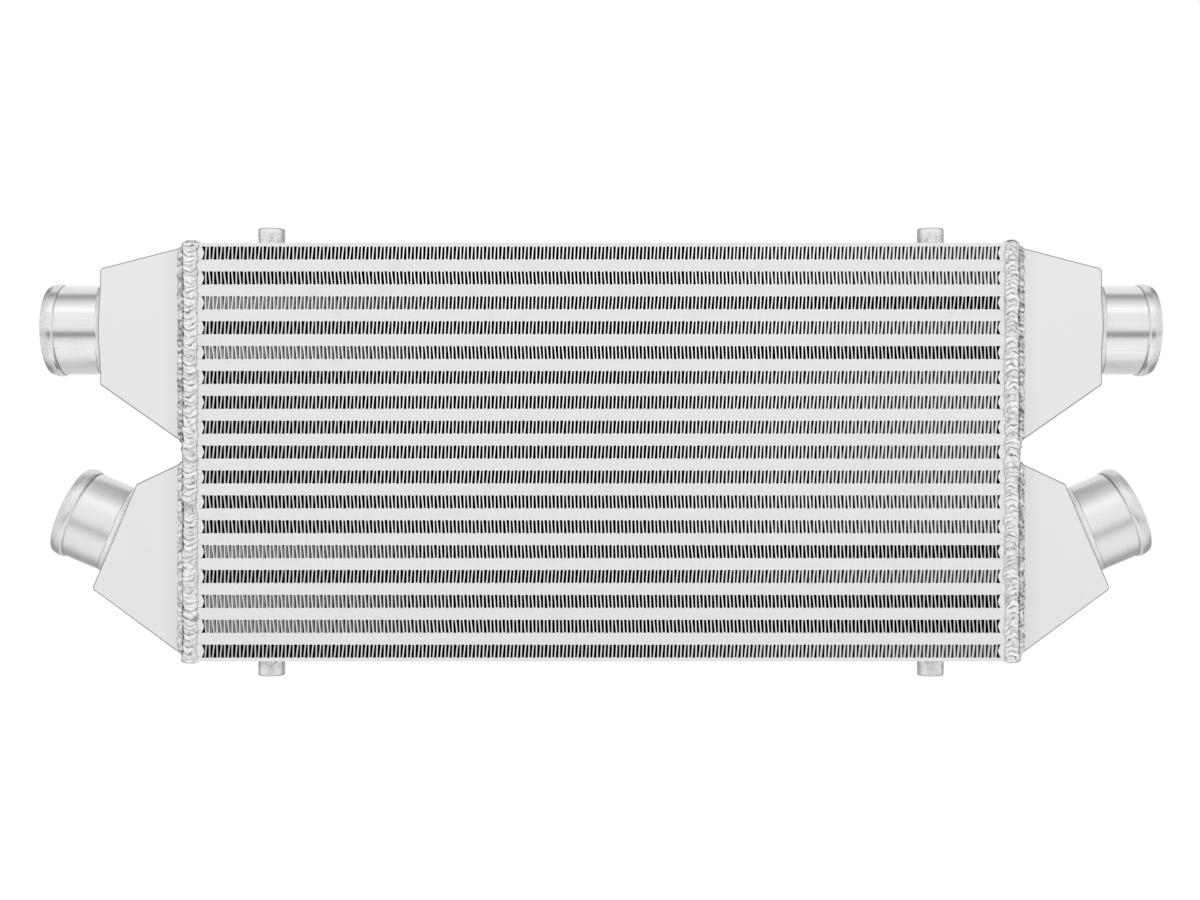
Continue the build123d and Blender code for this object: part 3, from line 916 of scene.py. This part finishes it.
# %% [markdown]
# ## The studio
# Bare aluminium has hardly any colour of its own: it shows the room. So the room is drawn with care. The angle round
# the part's long axis picks a brightness from a ramp: broad pale cards in front, above and behind, with two dark gaps
# between them. That gives round tube its bands and folded edges their thin dark lines. Far to the sides the bands
# fade into an even light, and towards the back of those sides the room is darker still, which the rims of the stubs
# pick up. The camera itself sees plain white.

# %% Room
BRIGHTEST = 1.6  # what the top of the ramp stands for
SIDE_FADE = 0.7  # share of even white that is mixed into the bands at the far sides
BACK_CORNER_DARK = 0.62  # share of the light that is missing there towards the back
# degrees round the long axis and brightness: -90 is below the part, 0 in front, 90 above, 180 behind
BANDS = [(-180, 0.95), (-150, 0.82), (-100, 0.77), (-92, 0.80), (-86, 0.98), (-76, 1.10), (-62, 1.19), (-44, 1.17),
         (-30, 1.04), (-24, 0.94), (-20, 0.36), (-9, 0.36), (-4, 1.0), (4, 1.05), (10, 1.07), (40, 1.08),
         (45, 1.26), (53, 1.34), (59, 1.22), (65, 1.02), (73, 0.90), (81, 0.80), (88, 0.44), (101, 0.42), (107, 0.90),
         (120, 1.0), (156, 1.0), (180, 0.95)]


def room_level(n, x, y, z):
    """Brightness of the room in the direction x, y, z: the ramp at the angle round X, faded towards 1 where x is
    large, and darkened where x and y are both large."""
    turn = n.add("ShaderNodeMath", {"operation": "ARCTAN2"}, {0: z, 1: -y}) / (2 * math.pi) + 0.5
    stops = [(angle / 360 + 0.5, level / BRIGHTEST) for angle, level in BANDS]
    band = n.add("ShaderNodeValToRGB", {"stops": stops}, {"Fac": turn}, "Color")
    away = SIDE_FADE * abs(x).ease(0.38, 0.56)
    level = BRIGHTEST * band * (1 - away) + away
    return level * (1 - BACK_CORNER_DARK * y.ease(0.0, 0.45) * abs(x).ease(0.34, 0.5))


bpy.context.scene.world = bpy.data.worlds.new("studio")
bpy.context.scene.world.use_nodes = True
n = Nodes(bpy.context.scene.world.node_tree)
x, y, z = n.split(n.add("ShaderNodeTexCoord", out="Generated"))
seen = n.add("ShaderNodeLightPath", out="Is Camera Ray")
level = room_level(n, x, y, z) * (1 - seen) + seen
sky = n.add("ShaderNodeBackground", None, {"Color": n.light(level), "Strength": 1.0})
n.add("ShaderNodeOutputWorld", None, {"Surface": sky})
print("room bands:", len(BANDS))

# %% [markdown]
# ## The bench
# The part rests on a white bench top. To the camera it is plain white, like the room behind it. A share of matt
# paint stays in it and takes the part's shadow, which light from all round leaves too faint to see. For the metal
# the bench is almost clear, so that the underside of a tube shows the room's own bands and not one white sheet.

# %% Bench top
BENCH_WHITE, BENCH_CLEAR = 0.87, 0.87  # share of plain white for the camera, and of clearness for the metal
BENCH_RADIUS, BENCH_CORNERS = 900.0, 96

bench_paint, n = finish("bench_paint")
seen = n.add("ShaderNodeLightPath", out="Is Camera Ray")
passing = (seen.twin("Is Glossy Ray") + seen.twin("Is Transmission Ray") + seen.twin("Is Shadow Ray")).low(1.0)
matt = n.add("ShaderNodeBsdfDiffuse", None, {"Color": (0.9, 0.9, 0.9, 1.0)})
white = n.add("ShaderNodeEmission", None, {"Color": (1.0, 1.0, 1.0, 1.0), "Strength": 1.08})
clear = n.add("ShaderNodeBsdfTransparent")
top = n.add("ShaderNodeMixShader", None, {0: BENCH_WHITE * seen, 1: matt, 2: white})
top = n.add("ShaderNodeMixShader", None, {0: BENCH_CLEAR * passing, 1: top, 2: clear})
n.add("ShaderNodeOutputMaterial", None, {"Surface": top})

turn = np.linspace(0, 2 * np.pi, BENCH_CORNERS, endpoint=False)
edge = points(BENCH_RADIUS * np.cos(turn), BENCH_RADIUS * np.sin(turn), cad_box[0][2] / MM)
mesh = bpy.data.meshes.new("bench_top")
mesh.from_pydata((edge * MM).tolist(), [], [list(range(BENCH_CORNERS))])
mesh.materials.append(bench_paint)
bench = bpy.data.objects.new("bench_top", mesh)
bpy.context.scene.collection.objects.link(bench)
print("bench top", round(-cad_box[0][2], 4), "m below the core's middle")
